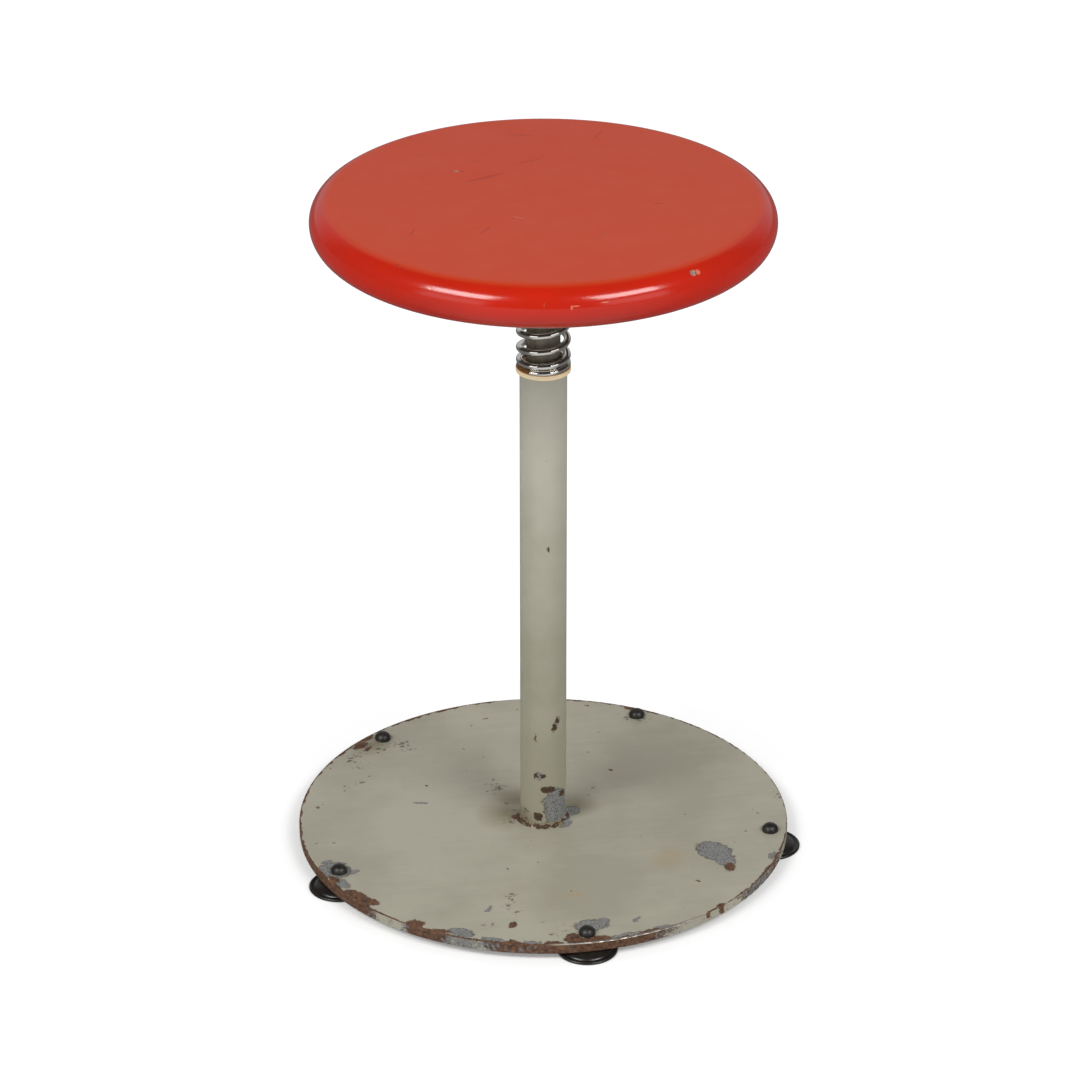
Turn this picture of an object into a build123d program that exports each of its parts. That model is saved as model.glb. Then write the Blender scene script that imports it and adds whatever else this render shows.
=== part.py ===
"""Sprung round stool.

A turned wooden seat stands on a steel plunger rod. The rod slides and turns in a nylon bush at the top of
a steel column, and a coil spring round the rod carries the seat. The column is welded to a round steel base
plate, which stands on five rubber suction feet.

Millimetres, +Z up. The origin is on the column's axis, on the floor, and one foot lies on the -Y axis.
"""

import os
from math import cos, pi, radians, sin, sqrt, tan

from build123d import *

# Base plate
BASE_DIAMETER = 360.0
BASE_THICKNESS = 8.0
BASE_EDGE_ROUND = 1.0

# Suction feet, pressed flat by the stool's weight
FOOT_COUNT = 5
FOOT_EDGE_DISTANCE = 12.0
FIRST_FOOT_ANGLE = -90.0
FOOT_CUP_DIAMETER = 44.0
FOOT_CUP_HEIGHT = 5.0
FOOT_HUB_DIAMETER = 16.0
FOOT_LIP_THICKNESS = 1.2
FOOT_RIM_WIDTH = 3.5
FOOT_HOLLOW_DEPTH = 2.4
FOOT_NECK_DIAMETER = 7.8
FOOT_NECK_CLEARANCE = 0.1
FOOT_HEAD_DIAMETER = 12.0
FOOT_HEAD_HEIGHT = 6.0
FOOT_HEAD_LIP = 1.2

# Column tube and the fillet weld round its foot
COLUMN_DIAMETER = 33.7
COLUMN_WALL = 2.6
COLUMN_LENGTH = 361.5
COLUMN_WELD_LEG = 3.5
WELD_CROWN = 0.4

# Nylon bush in the top of the column
BUSH_FLANGE_OVERHANG = 2.65
BUSH_FLANGE_THICKNESS = 4.0
BUSH_FLANGE_ROUND = 0.8
BUSH_SLEEVE_LENGTH = 70.0
BUSH_SLEEVE_CHAMFER = 1.0
BUSH_WALL = 2.1
BUSH_PRESS_CLEARANCE = 0.07

# Plunger rod, which fills the bush
ROD_RUNNING_CLEARANCE = 0.08
ROD_WELD_LEG = 2.5

# Coil spring
SPRING_LENGTH = 90.5
SPRING_WIRE_DIAMETER = 5.0
SPRING_ROD_GAP = 2.3
SPRING_TURNS = 8.75
SPRING_CLOSED_TURNS = 1.0
SPRING_RAMP_TURNS = 0.5
SPRING_CLOSED_GAP = 0.2
SPRING_SEAT_GAP = 0.3
SPRING_TIP_ANGLE = -132.0
ARCS_PER_TURN = 4

# Seat and the flange under it
SEAT_DIAMETER = 324.0
SEAT_THICKNESS = 32.0
FLANGE_DIAMETER = 110.0
FLANGE_THICKNESS = 4.0
FLANGE_EDGE_ROUND = 0.5

# Countersunk wood screws
SCREW_COUNT = 4
SCREW_EDGE_DISTANCE = 12.0
FIRST_SCREW_ANGLE = 0.0
SCREW_SHANK_DIAMETER = 5.0
SCREW_HEAD_DIAMETER = 9.0
SCREW_LENGTH = 25.0
SCREW_TIP_LENGTH = 4.0
SCREW_TIP_DIAMETER = 1.5
SCREW_CLEARANCE = 0.05

# Guide piston on the rod's lower end, which also stops the rod from pulling out
PISTON_LENGTH = 30.0
PISTON_RUNNING_CLEARANCE = 0.1
PISTON_CHAMFER = 1.5
PISTON_STOP_GAP = 0.3
BOLT_DIAMETER = 8.0
BOLT_LENGTH = 50.0
BOLT_CLEARANCE = 0.1
BOLT_HEAD_ACROSS_FLATS = 13.0
BOLT_HEAD_HEIGHT = 5.3
BOLT_HEAD_CHAMFER_ANGLE = 30.0
WASHER_DIAMETER = 20.0
WASHER_THICKNESS = 2.0
LOCK_WASHER_DIAMETER = 14.0
LOCK_WASHER_THICKNESS = 2.0
LOCK_WASHER_SLIT = 1.2

# Heights, from the floor up
PLATE_BOTTOM = FOOT_CUP_HEIGHT
PLATE_TOP = PLATE_BOTTOM + BASE_THICKNESS
COLUMN_TOP = PLATE_TOP + COLUMN_LENGTH
BUSH_TOP = COLUMN_TOP + BUSH_FLANGE_THICKNESS
FLANGE_BOTTOM = BUSH_TOP + SPRING_LENGTH
SEAT_BOTTOM = FLANGE_BOTTOM + FLANGE_THICKNESS
SEAT_TOP = SEAT_BOTTOM + SEAT_THICKNESS
ROD_BOTTOM = COLUMN_TOP - BUSH_SLEEVE_LENGTH - PISTON_STOP_GAP
PISTON_BOTTOM = ROD_BOTTOM - PISTON_LENGTH
WASHER_BOTTOM = PISTON_BOTTOM - WASHER_THICKNESS
LOCK_WASHER_BOTTOM = WASHER_BOTTOM - LOCK_WASHER_THICKNESS

# Radii that more than one piece takes
COLUMN_BORE_RADIUS = COLUMN_DIAMETER / 2 - COLUMN_WALL
BUSH_SLEEVE_RADIUS = COLUMN_BORE_RADIUS - BUSH_PRESS_CLEARANCE
BUSH_BORE_RADIUS = BUSH_SLEEVE_RADIUS - BUSH_WALL
BOLT_HOLE_RADIUS = BOLT_DIAMETER / 2 + BOLT_CLEARANCE
ROD_RADIUS = BUSH_BORE_RADIUS - ROD_RUNNING_CLEARANCE
SPRING_MEAN_RADIUS = ROD_RADIUS + SPRING_ROD_GAP + SPRING_WIRE_DIAMETER / 2


def outline(*points):
    """Straight edges from each (radius, height) point to the next."""
    return [Line(start, end) for start, end in zip(points, points[1:])]


def biarc(start, start_direction, end, end_direction):
    """Two tangent arcs that leave one point and reach another in the given directions."""
    chord, both = end - start, start_direction + end_direction
    spread = 2 * (1 - start_direction.dot(end_direction))
    along = chord.dot(both)
    reach = (sqrt(along * along + spread * chord.dot(chord)) - along) / spread
    knee_1, knee_2 = start + start_direction * reach, end - end_direction * reach
    joint = (knee_1 + knee_2) * 0.5
    return [
        TangentArc(start, joint, tangent=start_direction),
        TangentArc(joint, end, tangent=knee_2 - knee_1),
    ]


def turned(edges):
    """A solid turned about the Z axis from a closed outline of radii and heights."""
    return revolve(make_face([Plane.XZ * edge for edge in edges]), Axis.Z)


def ring(inner_radius, outer_radius, bottom, top):
    """A plain ring, or a disc where the inner radius is 0."""
    corners = [(inner_radius, bottom), (outer_radius, bottom), (outer_radius, top), (inner_radius, top)]
    return turned(outline(*corners, corners[0]))


def rounded_disc(radius, bottom, top, round_radius):
    """A disc with its two rims rounded."""
    return fillet(ring(0, radius, bottom, top).edges(), round_radius)


def lower_outer_rim(piece):
    """The widest circular edge at the bottom of a turned piece."""
    return piece.edges().filter_by(GeomType.CIRCLE).group_by(Axis.Z)[0].sort_by(SortBy.RADIUS)[-1]


def circle_places(count, radius, first_angle):
    """Places evenly spaced on a circle round the Z axis."""
    angles = [radians(first_angle + index * 360 / count) for index in range(count)]
    return [Pos(radius * cos(angle), radius * sin(angle), 0) for angle in angles]


FOOT_PLACES = circle_places(FOOT_COUNT, BASE_DIAMETER / 2 - FOOT_EDGE_DISTANCE, FIRST_FOOT_ANGLE)
SCREW_PLACES = circle_places(SCREW_COUNT, FLANGE_DIAMETER / 2 - SCREW_EDGE_DISTANCE, FIRST_SCREW_ANGLE)


def base_plate():
    """The steel disc, drilled for the necks of the feet."""
    plate = rounded_disc(BASE_DIAMETER / 2, PLATE_BOTTOM, PLATE_TOP, BASE_EDGE_ROUND)
    hole = ring(0, FOOT_NECK_DIAMETER / 2 + FOOT_NECK_CLEARANCE, PLATE_BOTTOM, PLATE_TOP)
    return plate - [place * hole for place in FOOT_PLACES]


def suction_foot():
    """One moulded rubber foot on its own axis: a shallow hollow cup, a neck and a domed head."""
    cup, hub, neck = FOOT_CUP_DIAMETER / 2, FOOT_HUB_DIAMETER / 2, FOOT_NECK_DIAMETER / 2
    head, rim = FOOT_HEAD_DIAMETER / 2, FOOT_CUP_DIAMETER / 2 - FOOT_RIM_WIDTH
    head_lip, head_top = PLATE_TOP + FOOT_HEAD_LIP, PLATE_TOP + FOOT_HEAD_HEIGHT
    return turned(
        [
            TangentArc((0, FOOT_HOLLOW_DEPTH), (rim, 0), tangent=(1, 0)),
            *outline((rim, 0), (cup, 0), (cup, FOOT_LIP_THICKNESS)),
            TangentArc((hub, PLATE_BOTTOM), (cup, FOOT_LIP_THICKNESS), tangent=(1, 0)),
            *outline((hub, PLATE_BOTTOM), (neck, PLATE_BOTTOM), (neck, PLATE_TOP)),
            Line((neck, PLATE_TOP), (head - FOOT_HEAD_LIP, PLATE_TOP)),
            TangentArc((head - FOOT_HEAD_LIP, PLATE_TOP), (head, head_lip), tangent=(1, 0)),
            *biarc(Vector(head, head_lip), Vector(0, 1), Vector(0, head_top), Vector(-1, 0)),
            Line((0, head_top), (0, FOOT_HOLLOW_DEPTH)),
        ]
    )


def weld_fillet(radius, height, leg):
    """A ring of weld metal in the corner between an upright round wall and the flat face it stands on."""
    corner, foot, crest = (radius, height), (radius + leg, height), (radius, height + leg)
    return turned([Line(corner, foot), SagittaArc(foot, crest, -WELD_CROWN), Line(crest, corner)])


def column_tube():
    """The plain steel tube, standing on the plate."""
    return ring(COLUMN_BORE_RADIUS, COLUMN_DIAMETER / 2, PLATE_TOP, COLUMN_TOP)


def top_bush():
    """The flanged nylon bush: its sleeve guides the rod and its flange carries the spring."""
    flange_radius = COLUMN_DIAMETER / 2 + BUSH_FLANGE_OVERHANG
    bush = ring(BUSH_BORE_RADIUS, BUSH_SLEEVE_RADIUS, COLUMN_TOP - BUSH_SLEEVE_LENGTH, COLUMN_TOP)
    bush += ring(BUSH_BORE_RADIUS, flange_radius, COLUMN_TOP, BUSH_TOP)
    flange_rims = bush.edges().filter_by(GeomType.CIRCLE).group_by(SortBy.RADIUS)[-1]
    bush = fillet(flange_rims, BUSH_FLANGE_ROUND)
    return chamfer(lower_outer_rim(bush), BUSH_SLEEVE_CHAMFER)


def plunger_rod():
    """The round bar that slides and turns in the bush, tapped at its lower end."""
    rod = ring(0, ROD_RADIUS, ROD_BOTTOM, SEAT_BOTTOM)
    return rod - ring(0, BOLT_HOLE_RADIUS, ROD_BOTTOM, LOCK_WASHER_BOTTOM + BOLT_LENGTH + BOLT_CLEARANCE)


def rod_weld():
    """The ring of weld metal that fills the countersink round the rod's top end, ground flush."""
    corner, root = (ROD_RADIUS, SEAT_BOTTOM), (ROD_RADIUS, SEAT_BOTTOM - ROD_WELD_LEG)
    return turned(outline(corner, root, (ROD_RADIUS + ROD_WELD_LEG, SEAT_BOTTOM), corner))


def screw_outline(radius_gap):
    """The outline of a countersunk screw whose flat head is flush with the flange's lower face."""
    shank, head = SCREW_SHANK_DIAMETER / 2 + radius_gap, SCREW_HEAD_DIAMETER / 2 + radius_gap
    cone_top = FLANGE_BOTTOM + head - shank
    shoulder = FLANGE_BOTTOM + SCREW_LENGTH - SCREW_TIP_LENGTH
    tip = FLANGE_BOTTOM + SCREW_LENGTH + radius_gap
    corners = [(0, FLANGE_BOTTOM), (head, FLANGE_BOTTOM), (shank, cone_top), (shank, shoulder)]
    return outline(*corners, (SCREW_TIP_DIAMETER / 2 + radius_gap, tip), (0, tip), corners[0])


def flange_screws():
    """The wood screws that hold the flange to the seat."""
    screw = turned(screw_outline(0))
    return Compound(children=[place * screw for place in SCREW_PLACES])


def screw_holes():
    """What the screws take out of the flange and the seat."""
    hole = turned(screw_outline(SCREW_CLEARANCE))
    return [place * hole for place in SCREW_PLACES]


def seat_flange():
    """The steel disc under the seat, bored and countersunk for the rod and for the screws."""
    disc = rounded_disc(FLANGE_DIAMETER / 2, FLANGE_BOTTOM, SEAT_BOTTOM, FLANGE_EDGE_ROUND)
    rod_hole = ring(0, ROD_RADIUS, FLANGE_BOTTOM, SEAT_BOTTOM)
    return disc - rod_hole - rod_weld() - screw_holes()


def seat_board():
    """The turned wooden seat, with its whole edge worked to a half round."""
    edge = SEAT_THICKNESS / 2
    flat, middle = SEAT_DIAMETER / 2 - edge, SEAT_BOTTOM + SEAT_THICKNESS / 2
    board = turned(
        [
            Line((0, SEAT_BOTTOM), (flat, SEAT_BOTTOM)),
            CenterArc((flat, middle), edge, -90, 90),
            CenterArc((flat, middle), edge, 0, 90),
            *outline((flat, SEAT_TOP), (0, SEAT_TOP), (0, SEAT_BOTTOM)),
        ]
    )
    return board - screw_holes()


def guide_piston():
    """The nylon guide that runs in the column under the bush."""
    radius = COLUMN_BORE_RADIUS - PISTON_RUNNING_CLEARANCE
    piston = ring(BOLT_HOLE_RADIUS, radius, PISTON_BOTTOM, ROD_BOTTOM)
    return chamfer(lower_outer_rim(piston), PISTON_CHAMFER)


def piston_washer():
    """The flat washer under the piston."""
    return ring(BOLT_HOLE_RADIUS, WASHER_DIAMETER / 2, WASHER_BOTTOM, PISTON_BOTTOM)


def piston_lock_washer():
    """The split washer under the bolt's head."""
    washer = ring(BOLT_HOLE_RADIUS, LOCK_WASHER_DIAMETER / 2, LOCK_WASHER_BOTTOM, WASHER_BOTTOM)
    lengthwise = (Align.MIN, Align.CENTER, Align.MIN)
    slit = Box(LOCK_WASHER_DIAMETER, LOCK_WASHER_SLIT, LOCK_WASHER_THICKNESS, align=lengthwise)
    return washer - Pos(0, 0, LOCK_WASHER_BOTTOM) * slit


def piston_bolt():
    """The hexagon bolt that clamps the piston to the rod."""
    flats = BOLT_HEAD_ACROSS_FLATS / 2
    spread = BOLT_HEAD_HEIGHT / tan(radians(BOLT_HEAD_CHAMFER_ANGLE))
    head = extrude(RegularPolygon(flats, 6, major_radius=False), BOLT_HEAD_HEIGHT)
    head &= Cone(flats, flats + spread, BOLT_HEAD_HEIGHT, align=(Align.CENTER, Align.CENTER, Align.MIN))
    shank = ring(0, BOLT_DIAMETER / 2, LOCK_WASHER_BOTTOM, LOCK_WASHER_BOTTOM + BOLT_LENGTH)
    return Pos(0, 0, LOCK_WASHER_BOTTOM - BOLT_HEAD_HEIGHT) * head + shank


def spring_open_pitch():
    """The pitch of the open coils that brings the spring to its length."""
    closed = SPRING_WIRE_DIAMETER + SPRING_CLOSED_GAP
    rise = SPRING_LENGTH - 2 * SPRING_SEAT_GAP
    closed_share = 2 * SPRING_CLOSED_TURNS + SPRING_RAMP_TURNS
    return (rise - closed_share * closed) / (SPRING_TURNS - closed_share)


def spring_slope(turn):
    """How fast the spring climbs, in mm per turn: flat end coils, a ramp, and the open coils between."""
    closed = SPRING_WIRE_DIAMETER + SPRING_CLOSED_GAP
    from_end = min(turn, SPRING_TURNS - turn)
    share = min(max((from_end - SPRING_CLOSED_TURNS) / SPRING_RAMP_TURNS, 0), 1)
    return closed + share * (spring_open_pitch() - closed)


def spring_rise(turn):
    """The climb of the wire's centre line from the lower tip, the integral of its slope."""
    closed, pitch = SPRING_WIRE_DIAMETER + SPRING_CLOSED_GAP, spring_open_pitch()
    if turn > SPRING_TURNS / 2:
        return SPRING_LENGTH - 2 * SPRING_SEAT_GAP - spring_rise(SPRING_TURNS - turn)
    ramped = min(max(turn - SPRING_CLOSED_TURNS, 0), SPRING_RAMP_TURNS)
    opened = max(turn - SPRING_CLOSED_TURNS - SPRING_RAMP_TURNS, 0)
    return closed * turn + (pitch - closed) * (ramped * ramped / (2 * SPRING_RAMP_TURNS) + opened)


def spring_point(turn):
    """A point on the wire's centre line."""
    angle = radians(SPRING_TIP_ANGLE) + 2 * pi * turn
    height = BUSH_TOP + SPRING_SEAT_GAP + spring_rise(turn)
    return Vector(SPRING_MEAN_RADIUS * cos(angle), SPRING_MEAN_RADIUS * sin(angle), height)


def spring_direction(turn):
    """The wire's direction there."""
    angle = radians(SPRING_TIP_ANGLE) + 2 * pi * turn
    run = 2 * pi * SPRING_MEAN_RADIUS
    return Vector(-run * sin(angle), run * cos(angle), spring_slope(turn)).normalized()


def coil_spring():
    """The round steel wire, wound right-handed, with a closed coil at each end that is ground flat."""
    steps = round(SPRING_TURNS * ARCS_PER_TURN)
    turns = [SPRING_TURNS * step / steps for step in range(steps + 1)]
    path = []
    for first, last in zip(turns, turns[1:]):
        start, end = spring_point(first), spring_point(last)
        path += biarc(start, spring_direction(first), end, spring_direction(last))
    section = Plane(spring_point(0), z_dir=spring_direction(0)) * Circle(SPRING_WIRE_DIAMETER / 2)
    coil = sweep(section, path=Wire(path))
    outside = SPRING_MEAN_RADIUS + SPRING_WIRE_DIAMETER
    return coil & ring(0, outside, spring_point(0).Z, spring_point(SPRING_TURNS).Z)


def spring_least_gap():
    """The least gap between one coil of the spring and the next, measured on points a few degrees apart."""
    samples_per_turn = 72
    count = round(SPRING_TURNS * samples_per_turn)
    points = [spring_point(index / samples_per_turn) for index in range(count + 1)]
    half_turn = samples_per_turn // 2
    pairs = ((a, b) for i, a in enumerate(points) for b in points[i + half_turn : i + 3 * half_turn])
    return min((a - b).length for a, b in pairs) - SPRING_WIRE_DIAMETER


PARTS = {
    "base_plate": base_plate(),
    "column_tube": column_tube(),
    "column_weld": weld_fillet(COLUMN_DIAMETER / 2, PLATE_TOP, COLUMN_WELD_LEG),
    "top_bush": top_bush(),
    "coil_spring": coil_spring(),
    "plunger_rod": plunger_rod(),
    "guide_piston": guide_piston(),
    "piston_washer": piston_washer(),
    "piston_lock_washer": piston_lock_washer(),
    "piston_bolt": piston_bolt(),
    "seat_flange": seat_flange(),
    "rod_weld": rod_weld(),
    "flange_screws": flange_screws(),
    "seat_board": seat_board(),
}
for number, place in enumerate(FOOT_PLACES, start=1):
    PARTS[f"suction_foot_{number}"] = place * suction_foot()

os.makedirs("parts", exist_ok=True)
for name, shape in PARTS.items():
    export_step(shape, f"parts/{name}.step")
print(f"height {SEAT_TOP:.1f} mm, spring pitch {spring_open_pitch():.2f} mm")
print(f"spring's least gap to itself {spring_least_gap():.2f} mm")
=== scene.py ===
import math

import bmesh
import bpy
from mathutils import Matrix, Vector


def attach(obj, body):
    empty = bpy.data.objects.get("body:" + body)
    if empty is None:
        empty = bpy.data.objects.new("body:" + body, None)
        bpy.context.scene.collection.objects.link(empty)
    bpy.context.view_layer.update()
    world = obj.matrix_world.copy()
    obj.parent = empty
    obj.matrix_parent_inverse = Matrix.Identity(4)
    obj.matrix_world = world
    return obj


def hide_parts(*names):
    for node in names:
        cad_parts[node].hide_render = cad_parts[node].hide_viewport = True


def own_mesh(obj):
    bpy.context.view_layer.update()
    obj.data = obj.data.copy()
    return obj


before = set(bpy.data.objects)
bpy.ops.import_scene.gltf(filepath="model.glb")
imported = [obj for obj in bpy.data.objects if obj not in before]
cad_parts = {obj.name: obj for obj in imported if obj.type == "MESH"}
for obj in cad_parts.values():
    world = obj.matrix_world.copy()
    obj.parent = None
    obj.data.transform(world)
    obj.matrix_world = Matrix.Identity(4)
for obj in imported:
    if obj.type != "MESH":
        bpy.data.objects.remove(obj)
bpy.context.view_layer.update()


# Base plate: a round steel disc, drilled for the feet, primed grey and brushed with one coat of grey enamel.
# Years of shoes have chipped the enamel to the primer, and the primer to rust, most of all along the front
# edge and round the column's foot.

MM = 0.001
PLATE_RADIUS, PLATE_FOOT, PLATE_TOP = 180.0, 5.0, 13.0
TOP_FACE, FOOT_FACE = (PLATE_TOP - 0.9, PLATE_TOP - 0.6), (PLATE_FOOT + 0.15, PLATE_FOOT + 0.05)
EDGE_INNER, EDGE_OUTER = 1.2, 0.8
RIM_DEEPEST = 10.0
BRIGHT_ARC = (-100.0, -94.0, -68.0, -60.0)
PLATE_CHIP_DEPTH = 6.5
DEEP_CHIPS = 12
FRAY_REACH = 9.0
TEAR = 0.9
OUTLINE = 1 + TEAR / 2
FOOT_SHADE_BAND = (360.0, 60.0)

MATH, VECTOR, RANGE, MIX = "ShaderNodeMath", "ShaderNodeVectorMath", "ShaderNodeMapRange", "ShaderNodeMix"
NOISE, CELLS, PLACED = "ShaderNodeTexNoise", "ShaderNodeTexVoronoi", "ShaderNodeMapping"
SPLIT, JOIN, BUMP = "ShaderNodeSeparateXYZ", "ShaderNodeCombineXYZ", "ShaderNodeBump"
SURFACE, SHOWN = "ShaderNodeBsdfPrincipled", "ShaderNodeOutputMaterial"


def linear(colour):
    """An sRGB hex colour as the linear colour that a socket takes."""
    parts = [int(colour[start:start + 2], 16) / 255 for start in (1, 3, 5)]
    return [part / 12.92 if part <= 0.04045 else ((part + 0.055) / 1.055) ** 2.4 for part in parts] + [1.0]


def add(tree, kind, sockets=None, output=0, **settings):
    """Adds a node with its settings, gives each socket named a value or a link, and returns one output."""
    node = tree.nodes.new(kind)
    for name, value in settings.items():
        setattr(node, name, value)
    for key, value in (sockets or {}).items():
        if isinstance(value, bpy.types.NodeSocket):
            tree.links.new(value, node.inputs[key])
        else:
            node.inputs[key].default_value = value
    return node.outputs[output] if node.outputs else node


def start_material(name):
    """A new material with an empty tree, that tree, and the Object coordinates that its patterns read."""
    material = bpy.data.materials.new(name)
    material.use_nodes = True
    material.node_tree.nodes.clear()
    return material, material.node_tree, add(material.node_tree, "ShaderNodeTexCoord", output="Object")


def coated(tree, base, *coats):
    """A base colour under other coats, each a cover from 0 to 1 and a colour. Colours are hex or outputs."""
    for cover, coat in coats:
        below, above = [linear(colour) if isinstance(colour, str) else colour for colour in (base, coat)]
        base = add(tree, MIX, {0: cover, 6: below, 7: above}, 2, data_type="RGBA")
    return base


def by_height(tree, point, *bands):
    """For each pair of heights in millimetres, a cover that goes from 0 at the first to 1 at the second."""
    height = add(tree, SPLIT, {0: point}, "Z")
    return [add(tree, RANGE, {"Value": height, "From Min": start * MM, "From Max": end * MM})
            for start, end in bands]


def nearest_mark(tree, point, marks):
    """Distance to the nearest of some oval marks, 1 on a mark's outline and 0 at its middle.

    A mark is its bearing, radius and height, its half sizes towards the axis, around it and upwards, and
    the angle that it leans by. Angles are in degrees and lengths in millimetres.
    """
    nearest = None
    for bearing, radius, height, deep, along, tall, lean in marks:
        turn = math.radians(bearing)
        placed = add(tree, PLACED, {
            "Vector": point,
            "Location": (radius * MM * math.cos(turn), radius * MM * math.sin(turn), height * MM),
            "Rotation": (0, 0, turn + math.radians(lean)),
            "Scale": (deep * MM, along * MM, tall * MM)}, vector_type="TEXTURE")
        distance = add(tree, VECTOR, {0: placed}, "Value", operation="LENGTH")
        if nearest is not None:
            distance = add(tree, MATH, {0: nearest, 1: distance}, operation="MINIMUM")
        nearest = distance
    return nearest


# Brushed enamel over primer over rusting steel: a flat, slightly uneven sheen with faint brush lines, a
# frayed edge to each chip, pitted grey primer in the shallow chips, and grainy brown rust without shine in
# the deep ones. The knocked edge of the plate is polished bright for a hand's width in front.
PLATE_ENAMEL = ("#a29e8e", "#949080")
PRIMER, PRIMER_PITTED = "#828381", "#4b4945"
PLATE_RUST = ("#2c1e15", "#61402a", "#92683f")
# The speck colour also paints the shadow ring round each chip.
SPECK_AND_SHADOW, STAIN, GRIME_AND_SHADE = "#463b30", "#9b8b6e", "#6b6044"
PLATE_KNOCK = 0.085
BARE_STEEL = "#c9c5bc"
SPECK_COVER, BRUSHED_SHARE, FOOT_SHADE_SHARE = 0.85, 0.15, 0.35
STRIPPED_DULL, STEEL_DULL = 0.85, 0.36
CHIP_SOFT, RUST_SOFT, FILM_SOFT, CHIP_SHADOW_REACH = 0.04, 0.06, 0.03, 0.18


def chipped_enamel(
        name, enamels, rusts, knock, primer_marks, rust_marks, speckled, stains, grime_and_shade, rim=(), painted_shades=()):
    """Grey enamel with primer and rust at marks given, and specks, stains, grime and painted shade at
    others.

    A rim is the wear along a disc's edge by bearing. Shades are painted shade and painted light: marks
    that darken or lighten the coat.
    """
    material, tree, point = start_material(name)
    tear, rust_grain, grit, cloud = [
        add(tree, NOISE, {"Vector": point, "Scale": 1 / (size * MM), "Detail": detail, "Roughness": rough})
        for size, detail, rough in ((7, 6, 0.7), (2.4, 8, 0.75), (1.2, 5, 0.75), (70, 5, 0.6))]

    # The chips: each mark's distance, bent by a coarse and a fine noise so that its outline is torn.
    fray = add(tree, NOISE, {"Vector": point, "Scale": 1 / (4 * MM), "Detail": 7.0, "Roughness": 0.72}, 1)
    fray = add(tree, VECTOR, {0: fray, 1: (0.5, 0.5, 0.5)}, operation="SUBTRACT")
    ragged = add(tree, VECTOR, {0: fray, 1: [FRAY_REACH * MM] * 3, 2: point}, operation="MULTIPLY_ADD")
    deep_marks = sorted(primer_marks + rust_marks, key=lambda mark: mark[4] * max(mark[3], mark[5]))
    primer_reach, rust_reach, film_reach = [
        add(tree, MATH, {0: tear, 1: TEAR, 2: nearest_mark(tree, ragged, marks)}, operation="MULTIPLY_ADD")
        for marks in (primer_marks, rust_marks, deep_marks[-DEEP_CHIPS:])]
    primed = add(tree, RANGE, {
        "Value": primer_reach, "From Min": OUTLINE + CHIP_SOFT, "From Max": OUTLINE - CHIP_SOFT})
    rusted = add(tree, RANGE, {
        "Value": rust_reach, "From Min": OUTLINE + CHIP_SOFT, "From Max": OUTLINE - RUST_SOFT})

    # The rim: bare on both faces as far in as the wear by bearing reaches, bare on the side where the wear
    # is more than the noise, rusty where the rot is, and brown along the edge between top and side.
    if rim:
        place = add(tree, SPLIT, {0: point}).node.outputs
        around = add(tree, MATH, {0: place["Y"], 1: place["X"]}, operation="ARCTAN2")
        around = add(tree, RANGE, {
            "Value": around, "From Min": -math.pi, "From Max": math.pi, "To Min": -180.0, "To Max": 180.0})
        share = add(tree, RANGE, {"Value": around, "From Min": -180.0, "From Max": 180.0})
        by_bearing = []
        for column in (1, 2, 3):
            ramp = add(tree, "ShaderNodeValToRGB", {0: share})
            stops = ramp.node.color_ramp.elements
            for row in rim:
                spot = (row[0] + 180) / 360
                stop = stops[0] if spot == 0 else stops[-1] if spot == 1 else stops.new(spot)
                stop.color = (row[column], row[column], row[column], 1.0)
            by_bearing.append(ramp)
        reach, bared, rot = by_bearing
        flat = add(tree, VECTOR, {0: point, 1: (1, 1, 0)}, operation="MULTIPLY")
        radius = add(tree, VECTOR, {0: flat}, "Value", operation="LENGTH")
        inset = add(tree, MATH, {0: PLATE_RADIUS * MM, 1: radius}, operation="SUBTRACT")
        bite = add(tree, NOISE, {"Vector": point, "Scale": 1 / (8 * MM), "Detail": 6.0, "Roughness": 0.7})
        bitten = add(tree, RANGE, {
            "Value": bite, "From Min": 0.34, "From Max": 0.6, "To Max": RIM_DEEPEST * MM})
        depth = add(tree, MATH, {0: reach, 1: bitten}, operation="MULTIPLY")
        spare = add(tree, MATH, {0: depth, 1: inset}, operation="SUBTRACT")
        face_bare = add(tree, RANGE, {"Value": spare, "From Min": -0.1 * MM, "From Max": 0.1 * MM})
        patchy = add(tree, MIX, {0: 0.5, 2: bite, 3: grit})
        side_bare = add(tree, MATH, {0: bared, 1: patchy}, operation="SUBTRACT")
        side_bare = add(tree, RANGE, {"Value": side_bare, "From Min": -0.01, "From Max": 0.02})
        on_top, beneath = by_height(tree, point, TOP_FACE, FOOT_FACE)
        on_face = add(tree, MATH, {0: on_top, 1: beneath}, operation="MAXIMUM")
        bare = add(tree, MIX, {0: on_face, 2: side_bare, 3: face_bare})
        primed = add(tree, MATH, {0: primed, 1: bare}, operation="MAXIMUM")
        eaten = add(tree, MATH, {0: rot, 1: rust_grain}, operation="SUBTRACT")
        eaten = add(tree, RANGE, {"Value": eaten, "From Min": -0.02, "From Max": 0.03})
        edge = add(tree, RANGE, {"Value": inset, "From Min": EDGE_INNER * MM, "From Max": EDGE_OUTER * MM})
        edge = add(tree, MATH, {0: edge, 1: on_top}, operation="MULTIPLY")
        eaten = add(tree, MATH, {0: eaten, 1: edge}, operation="MAXIMUM")
        eaten = add(tree, MATH, {0: eaten, 1: bare}, operation="MULTIPLY")
        rusted = add(tree, MATH, {0: rusted, 1: eaten}, operation="MAXIMUM")

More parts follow.
